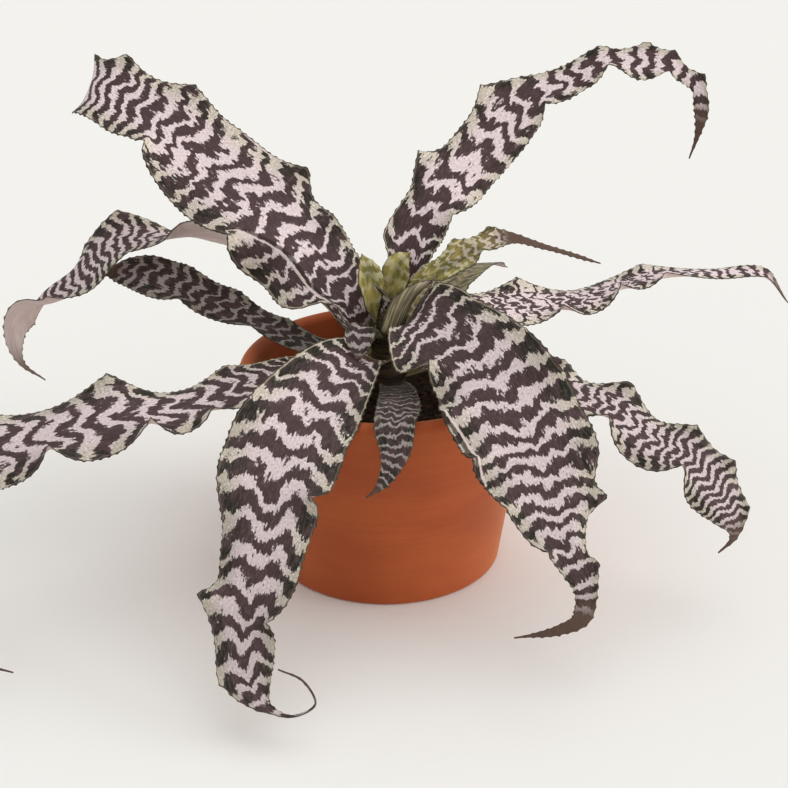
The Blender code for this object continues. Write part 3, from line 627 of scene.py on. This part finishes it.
def smooth_rows(stations, rows):
    """Rows spaced evenly along a smooth curve through the stations (a Catmull-Rom spline)."""
    gaps = np.linalg.norm(np.diff(stations[:, :3], axis=0), axis=1)
    reach = np.concatenate([[0.0], np.cumsum(gaps)])
    along = np.linspace(0.0, reach[-1], rows)
    last = len(gaps) - 1
    span = np.clip(np.searchsorted(reach, along, side="right") - 1, 0, last)
    slopes = np.diff(stations, axis=0) / gaps[:, None]
    weight = (gaps[1:] / (gaps[1:] + gaps[:-1]))[:, None]
    middle = slopes[:-1] * weight + slopes[1:] * (1 - weight)
    tangents = np.vstack([slopes[:1], middle, slopes[-1:]])
    t = ((along - reach[span]) / gaps[span])[:, None]
    gap = gaps[span][:, None]
    start = (2 * t**3 - 3 * t**2 + 1) * stations[span]
    start += (t**3 - 2 * t**2 + t) * gap * tangents[span]
    end = (3 * t**2 - 2 * t**3) * stations[span + 1]
    end += (t**3 - t**2) * gap * tangents[span + 1]
    return start + end


def blade_frames(centre, twist):
    """Unit vectors at each row: across the blade to its left, and out of its face."""
    along = np.gradient(centre, axis=0)
    along /= np.linalg.norm(along, axis=1)[:, None]
    side = np.array([-centre[0, 1], centre[0, 0], 0.0])
    sides = []
    for direction in along:
        side = side - (side @ direction) * direction
        side /= np.linalg.norm(side)
        sides.append(side)
    sides = np.array(sides)
    turn = np.radians(twist)[:, None]
    across = sides * np.cos(turn) + np.cross(along, sides) * np.sin(turn)
    return across, np.cross(along, across)


def smoothstep(value, low, high):
    """0 up to the low value and 1 from the high one, with a smooth rise between them."""
    t = np.clip((value - low) / (high - low), 0.0, 1.0)
    return t * t * (3 - 2 * t)


def margin_shape(share, knots):
    """A margin's bend and jut at each share: pointed at the crests, round in the troughs."""
    knots = np.array([(0.0, 0.0, 0.0), *knots, (1.0, 0.0, 0.0)])
    first = np.clip(np.searchsorted(knots[:, 0], share, side="right") - 1, 0, len(knots) - 2)
    t = (share - knots[first, 0]) / (knots[first + 1, 0] - knots[first, 0])
    falling = knots[first, 1] > knots[first + 1, 1]
    t = np.where(falling, np.sin(np.pi / 2 * t) ** 0.8, 1 - np.sin(np.pi / 2 * (1 - t)) ** 0.8)
    bend, jut = (knots[first, k] + (knots[first + 1, k] - knots[first, k]) * t for k in (1, 2))
    return np.radians(bend), jut * MM


# ---------------------------------------------------------------- leaves


def stem_radius(share):
    return STEM_RADIUS + (STEM_TIP_RADIUS - STEM_RADIUS) * share


def leaf_stations(leaf):
    """Rows of x, y, z, width and twist, from the root on the stem to the tip."""
    azimuth, share = leaf["base"]
    angle = math.radians(azimuth)
    radius = stem_radius(share) + CLEARANCE + LEAF_THICKNESS / 2
    base = (radius * math.cos(angle), radius * math.sin(angle), SOIL_TOP + STEM_HEIGHT * share)
    rows = [(*base, LEAF_BASE_WRAP * stem_radius(share), 0.0)]
    for x, y, up, width, twist in leaf["stations"]:
        height = POT_HEIGHT * min(up, 1.0) + ROSETTE_RISE * max(up - 1.0, 0.0)
        rows.append((x * RIM_RADIUS, y * RIM_RADIUS, height, width * MM, twist))
    return np.array(rows)


def crease_line(share, crease):
    """Where a fold lies across the half blade at each row, and how sharp it is there."""
    if not crease:
        return np.ones((len(share), 1)), np.zeros((len(share), 1))
    start, end, nearest = crease
    arch = np.sin(np.pi * np.clip((share - start) / (end - start), 0.0, 1.0)) ** 0.6
    return (1 - (1 - nearest) * arch)[:, None], smoothstep(arch, 0.0, 0.5)[:, None]


def half_section(half_width, gutter, bend, fold):
    """A half blade's section at each row, bent from midrib to margin: its reach and rise.

    The section keeps its true width: it is summed from short steps, each at its own slope.
    """
    middle = (HALF_PLACES[1:] + HALF_PLACES[:-1]) / 2
    step = np.diff(HALF_PLACES)
    slope = gutter[:, None] * middle + bend[:, None] * smoothstep(middle[None, :], *fold)
    reach = np.cumsum(np.cos(slope) * step, axis=1) * half_width[:, None]
    rise = np.cumsum(np.sin(slope) * step, axis=1) * half_width[:, None]
    zero = np.zeros((len(half_width), 1))
    return np.hstack([zero, reach]), np.hstack([zero, rise])


def blade_halves(leaf, order, share, width):
    """Each half's section at each row, as reach and rise from the midrib, and its half width."""
    base_bend, far_bend = leaf["gutter"]
    grow = smoothstep(share, 0.03, 0.12) * (1 - smoothstep(share, 0.94, 1.0))
    teeth = np.where(np.arange(len(share)) % ROWS_PER_TOOTH == 0, TOOTH_LENGTH, 0.0) * grow
    dice = np.random.default_rng(100 + order)
    sections, half_widths = {}, {}
    for side in ("left", "right"):
        bend, jut = margin_shape(share, leaf[side])
        clasp_half, clasp_bend, clasp_end = leaf.get("clasp_" + side, (0, base_bend, 0.3))
        clasp = 1 - smoothstep(share, 0.4 * clasp_end, clasp_end)
        gutter = np.radians(far_bend + (clasp_bend - far_bend) * clasp)
        sheath = clasp_half * MM * clasp * smoothstep(share, -0.02, 0.05)
        half_widths[side] = np.maximum(width / 2 + jut * grow, sheath)
        crease, sharp = crease_line(share, leaf.get("crease_" + side))
        fold = (0.25 + (crease - 0.30) * sharp, 0.85 + (crease - 0.77) * sharp)
        reach, rise = half_section(half_widths[side], gutter, bend * grow, fold)
        reach[:, -1] += teeth * dice.uniform(0.5, 1.3, len(share))
        sections[side] = reach, rise
    return sections, half_widths


def blade_points(centre, across, out, width, sections):
    """The upper face and the underside, either side of the middle surface along its normals."""
    (left_reach, left_rise), (right_reach, right_rise) = sections["left"], sections["right"]
    reach = np.hstack([left_reach[:, ::-1], -right_reach[:, 1:]])
    rise = np.hstack([left_rise[:, ::-1], right_rise[:, 1:]])
    surface = centre[:, None] + across[:, None] * reach[..., None] + out[:, None] * rise[..., None]
    normal = np.cross(np.gradient(surface, axis=1), np.gradient(surface, axis=0))
    normal /= np.maximum(np.linalg.norm(normal, axis=2), 1e-12)[..., None]
    normal *= np.sign((normal * out[:, None]).sum(axis=(1, 2)).mean())
    to_midrib = 1 - np.abs(PLACES) ** 1.5
    thick = MARGIN_THICKNESS + (MIDRIB_THICKNESS - MARGIN_THICKNESS) * to_midrib
    thick = np.minimum(thick[None, :], 0.5 * width[:, None])[..., None]
    upper = surface + normal * thick / 2
    under = surface - normal * thick / 2
    return np.vstack([upper.reshape(-1, 3), under.reshape(-1, 3)])


def blade_faces(rows):
    """The faces of the upper face, then of the underside, then of the margin between them."""
    columns = len(PLACES)
    low = rows * columns
    grid = np.arange(low).reshape(rows, columns)
    corners = np.stack([grid[:-1, :-1], grid[1:, :-1], grid[1:, 1:], grid[:-1, 1:]], -1)
    faces = [tuple(f) for f in corners.reshape(-1, 4).tolist()]
    faces += [tuple(low + v for v in reversed(f)) for f in faces]
    loop = [*grid[:, 0], *grid[-1, 1:], *grid[-2::-1, -1], *grid[0, -2:0:-1]]
    for first, second in zip(loop, loop[1:] + loop[:1]):
        faces.append((int(first), int(first + low), int(second + low), int(second)))
    return faces


def make_leaf(name, leaf, order, materials):
    """A blade along the leaf's route, with its upper face and its underside finished apart."""
    stations = leaf_stations(leaf)
    length = np.linalg.norm(np.diff(stations[:, :3], axis=0), axis=1).sum()
    rows = smooth_rows(stations, max(FEWEST_ROWS, round(length / ROW_STEP)))
    centre, twist = rows[:, :3], rows[:, 4]
    share = np.linspace(0.0, 1.0, len(rows))
    width = np.maximum(rows[:, 3], NARROWEST_BLADE) * (1 - 0.7 * smoothstep(share, 0.90, 1.0))
    across, out = blade_frames(centre, twist)
    sections, half_widths = blade_halves(leaf, order, share, width)
    points = blade_points(centre, across, out, width, sections)
    faces = blade_faces(len(rows))
    mesh = closed_mesh(name + "_blade", points, faces, materials)
    face_size = (len(rows) - 1) * (len(PLACES) - 1)
    index = np.zeros(len(faces), np.int32)
    index[face_size:2 * face_size] = 1
    mesh.polygons.foreach_set("material_index", index)
    paint_leaf(mesh, leaf, order, share, length, width, half_widths)
    slot = "young_leaf" if "heart" in name else "banded_leaf"
    add_piece(name + "_blade", mesh, slot, name)


def paint_leaf(mesh, leaf, order, share, length, width, halves):
    """Per-point values that the leaf materials read: place on the blade, bands, tints, marks."""
    places, edge = PLACES[None, :], np.abs(PLACES)[None, :]
    ones = np.ones((len(share), len(PLACES)))
    at = share * length / MM
    half = np.where(places > 0, halves["left"][:, None], halves["right"][:, None])

    # Place on the blade in millimetres, shifted by leaf so that no two look alike
    seed = 37.0 * (order + 1)
    place = np.stack([places * half / MM + seed, at[:, None] * ones + seed * 3, edge * ones], -1)

    # The bands: one for each whole step of phase, zigzagging, and swept back round the base
    spacing = np.interp(share, *zip(*leaf["period"]))
    cycles = np.concatenate([[0.0], np.cumsum(np.diff(at) / ((spacing[1:] + spacing[:-1]) / 2))])
    shape = np.cos(2 * math.pi * edge / 0.9) * (1 - 0.3 * edge)
    strength = leaf["zigzag"] * 0.5 * smoothstep(width, 0.004, 0.02)
    swirl = 1 - smoothstep(share, 0.04, 0.20)
    phase = cycles[:, None] - strength[:, None] * shape - 2.6 * (swirl[:, None] * edge)
    # Painted shade near the base and near the tip, with more of the blade dark there
    shade_and_green = np.interp(share, (0.3, 0.8), leaf.get("shade_and_green", (0.0, 0.0)))
    to_base = 1 - smoothstep(share, 0.12, 0.42)
    dark_share = 0.54 + 0.16 * to_base + 0.08 * shade_and_green - leaf.get("pale", 0.0)
    mottle = leaf["mottle"] * (1 - 0.5 * smoothstep(share, 0.60, 0.85))
    bands = np.stack([phase, dark_share[:, None] * ones, mottle[:, None] * ones], -1)

    # Tints and painted shade: the shade as above, green at the very base, and brown at the tip
    # unless the leaf's looks say otherwise
    fresh, faded = leaf.get("young", (0.0, 1.0))
    young = fresh * (1 - smoothstep(share, 0.3 * faded, faded))
    young = np.maximum(young, 0.8 * (1 - smoothstep(share, 0.02, 0.08)))
    brown, turns = leaf.get("dry", (1.0, 0.91))
    dry = smoothstep(share, turns - 0.02, turns + 0.05) * brown
    tints_and_shade = np.stack([shade_and_green[:, None] * ones, young[:, None] * ones, dry[:, None] * ones], -1)

    # Marks: millimetres from the fold, for its painted shade and highlight, or far off where there
    # is none, and the pale rim
    line, sharp = crease_line(share, leaf.get("crease_left"))
    crease = (places - line) * halves["left"][:, None] / MM + 50 * (sharp < 0.05)
    pale_rim = 0.12 + 0.6 * (1 - smoothstep(share, 0.18, 0.34))
    marks = np.stack([crease, pale_rim[:, None] * ones, 0 * ones], -1)
    for name, values in (("blade", place), ("bands", bands), ("tints_and_shade", tints_and_shade), ("marks", marks)):
        flat = values.reshape(-1, 3)
        vector_attribute(mesh, name, np.vstack([flat, flat]))


# ---------------------------------------------------------------- pot, soil and stem


def add_turned(name, profile, steps, wobble, material, slot, node):
    """A closed profile of radius and height, turned about the Z axis and roughened by wobble."""
    points, faces = [], []
    size = len(profile)
    for k in range(steps):
        angle = 2 * math.pi * k / steps
        for radius, height in profile:
            r, z = wobble(radius, height, angle)
            points.append((r * math.cos(angle), r * math.sin(angle), z))
    for k in range(steps):
        following = (k + 1) % steps
        for j in range(size):
            i = (j + 1) % size
            faces.append((k * size + j, k * size + i, following * size + i, following * size + j))
    add_piece(name, closed_mesh(name, points, faces, [material]), slot, node)


def arc(centre_r, centre_z, radius, start, end, pieces):
    """Points along an arc of a profile, its angles in degrees from straight out."""
    angles = [math.radians(start + (end - start) * k / pieces) for k in range(pieces + 1)]
    return [(centre_r + radius * math.cos(a), centre_z + radius * math.sin(a)) for a in angles]


def straight(start, end, pieces):
    """Points between two corners of a profile, without the corners."""
    out, up = end[0] - start[0], end[1] - start[1]
    return [(start[0] + out * k / pieces, start[1] + up * k / pieces) for k in range(1, pieces)]


def inner_radius(height):
    """The inside of the pot's tapered wall at a height."""
    return BASE_RADIUS + (RIM_RADIUS - BASE_RADIUS) * height / POT_HEIGHT - WALL


def make_pot(material):
    """The pot, turned: a tapered wall with a thick rounded lip and faint throwing rings."""
    lip = WALL / 2
    shoulder = POT_HEIGHT - lip
    lip_centre = inner_radius(shoulder) + lip
    hole_top, hole_bottom = (DRAIN_RADIUS, FLOOR), (DRAIN_RADIUS, 0.0)
    inside_low = (inner_radius(FLOOR), FLOOR)
    top = arc(lip_centre, shoulder, lip, 180, 0, 20)
    base = arc(BASE_RADIUS - FOOT_ROUNDING, FOOT_ROUNDING, FOOT_ROUNDING, 0, -90, 6)
    profile = [hole_top] + straight(hole_top, inside_low, 12) + [inside_low]
    profile += straight(inside_low, top[0], 40) + top
    profile += straight(top[-1], base[0], 70) + base
    profile += straight(base[-1], hole_bottom, 10) + [hole_bottom]

    def throwing_rings(radius, height, angle):
        if height < 0.001 or height > POT_HEIGHT - 0.0005:
            return radius, height
        turn = Vector((math.cos(angle) * 1.3, math.sin(angle) * 1.3, height / 0.004))
        ring = noise.noise(turn) * 0.00010
        slow = noise.noise(Vector((math.cos(angle), math.sin(angle), height / 0.03))) * 0.00012
        return radius + (ring + slow), height

    add_turned("terracotta_pot_body", profile, 192, throwing_rings, material,
               "terracotta", "terracotta_pot")


def make_soil(material):
    """Crumbly mix: a lumpy surface over a plain root ball, with a socket for the stem."""
    edge = inner_radius(SOIL_TOP) - CLEARANCE
    bottom = SOIL_LOW.z
    socket = STEM_RADIUS + CLEARANCE
    socket_floor = SOIL_TOP - STEM_ROOTED - CLEARANCE
    low_edge = inner_radius(bottom) - CLEARANCE
    profile = [(SOIL_AXIS_GAP, socket_floor), (socket, socket_floor)]
    for k in range(61):
        radius = socket + (edge - socket) * k / 60
        mound = SOIL_MOUND * (1 - (radius - socket) / (edge - socket))
        profile.append((radius, SOIL_TOP + mound - SOIL_SINK))
    profile += straight((edge, SOIL_TOP - 0.001), (low_edge, bottom), 12) + [(low_edge, bottom)]
    profile += [(SOIL_AXIS_GAP, bottom)]

    def lumps(radius, height, angle):
        if height < SOIL_TOP - 0.002 or radius < socket * 1.02:
            return radius, height
        place = Vector((radius * math.cos(angle), radius * math.sin(angle), 0.0))
        rise = noise.fractal(place * 260, 0.8, 2.2, 4) * 0.0009
        rise += noise.noise(place * 70) * 0.0008
        return radius, height + min(rise, 0.0008) * min(1.0, (edge - radius) / 0.002 + 0.2)

    add_turned("potting_mix_bed", profile, 220, lumps, material, "potting_mix", "potting_mix")


def make_chips(material):
    """Bark chips and crumbs, half sunk in the mix: rounded blocks of many sizes.

    They are detail of the mix and replace no CAD node of their own.
    """
    dice = np.random.default_rng(7)
    shape = bmesh.new()
    edge = inner_radius(SOIL_TOP) - 0.003
    for _ in range(CHIPS):
        radius = math.sqrt(dice.uniform((STEM_RADIUS + 0.003) ** 2, edge**2))
        angle = dice.uniform(0, 2 * math.pi)
        size = dice.uniform(0.0008, 0.0026)
        chip = bmesh.ops.create_icosphere(shape, subdivisions=2, radius=1.0)["verts"]
        stretch = Vector(dice.uniform((0.7, 0.4, 0.3), (1.6, 0.9, 0.6))) * size
        turn = Vector(dice.normal(size=3)).normalized().to_track_quat("Z", "Y")
        place = Vector((radius * math.cos(angle), radius * math.sin(angle), SOIL_TOP + size * 0.2))
        seed = Vector(dice.uniform(0, 50, 3))
        for vertex in chip:
            bump = 1 + 0.35 * noise.noise(vertex.co * 1.6 + seed)
            point = Vector(a * b * bump for a, b in zip(vertex.co, stretch))
            vertex.co = turn @ point + place
    mesh = bpy.data.meshes.new("bark_chips")
    shape.to_mesh(mesh)
    shape.free()
    mesh.materials.append(material)
    add_piece("bark_chips", mesh, "potting_mix")


def make_stem(material):
    """The stock that the leaves spring from, ringed by old leaf scars."""
    root, ground = (STEM_RADIUS, SOIL_TOP - STEM_ROOTED), (STEM_RADIUS, SOIL_TOP)
    top = SOIL_TOP + STEM_HEIGHT
    profile = [(STEM_AXIS_GAP, SOIL_TOP - STEM_ROOTED), root] + straight(root, ground, 10)
    profile += [ground] + straight(ground, (STEM_TIP_RADIUS, top), 60)
    profile += arc(STEM_AXIS_GAP, top, STEM_TIP_RADIUS - STEM_AXIS_GAP, 0, 88, 8)

    def scars(radius, height, angle):
        if radius < 0.001:
            return radius, height
        ring = -0.0003 * abs(math.sin(height / 0.0017 + 0.6 * math.sin(angle * 2)))
        return radius + ring, height

    add_turned("stem_stock", profile, 72, scars, material, "stem", "stem")


# ---------------------------------------------------------------- studio


def make_camera():
    """The camera, in front of the pot and above it, looking along +Y and down."""
    data = bpy.data.cameras.new("camera")
    data.sensor_width = SENSOR_WIDTH
    data.lens = LENS
    camera = add_object("camera", data)
    camera.location = CAMERA_PLACE
    camera.rotation_euler = (math.radians(90 - CAMERA_DIP), 0.0, 0.0)
    bpy.context.scene.camera = camera


def make_sun(name, place, power, colour, spread):
    """Light from the direction of a place, as soft as its spread in degrees."""
    data = bpy.data.lights.new(name, "SUN")
    data.energy = power
    data.color = colour
    data.angle = math.radians(spread)
    light = add_object(name, data)
    light.location = place
    towards = Vector(LIGHTS_AIM) - light.location
    light.rotation_euler = towards.to_track_quat("-Z", "Y").to_euler()


def make_floor():
    mesh = bpy.data.meshes.new("floor")
    shape = bmesh.new()
    bmesh.ops.create_grid(shape, x_segments=1, y_segments=1, size=FLOOR_HALF_SIZE)
    shape.to_mesh(mesh)
    shape.free()
    mesh.materials.append(floor_material())
    floor = add_object("floor", mesh)
    floor.location.z = -FLOOR_DROP


def make_studio():
    """A bright even room, a soft key light from above and a warm low one from the right."""
    bpy.context.scene.view_settings.view_transform = "Standard"
    world = bpy.data.worlds.new("studio")
    world.use_nodes = True
    background = world.node_tree.nodes["Background"]
    background.inputs["Color"].default_value = (1.0, 0.995, 0.985, 1.0)
    background.inputs["Strength"].default_value = WORLD_STRENGTH
    bpy.context.scene.world = world
    make_sun("key", (0.35, 0.30, 1.5), 0.64, (1.0, 0.985, 0.965), 60)
    make_sun("right_fill", (1.2, -0.15, 0.25), 2.10, (1.0, 0.96, 0.92), 45)
    make_floor()


def main():
    make_camera()
    make_studio()
    make_pot(terracotta_material())
    make_soil(soil_material())
    make_chips(bark_material())
    make_stem(shaded_stem_material())
    finishes = [leaf_upper_material(), leaf_under_material()]
    for order, (name, leaf) in enumerate(LEAVES.items()):
        make_leaf(name, leaf, order, finishes)


main()
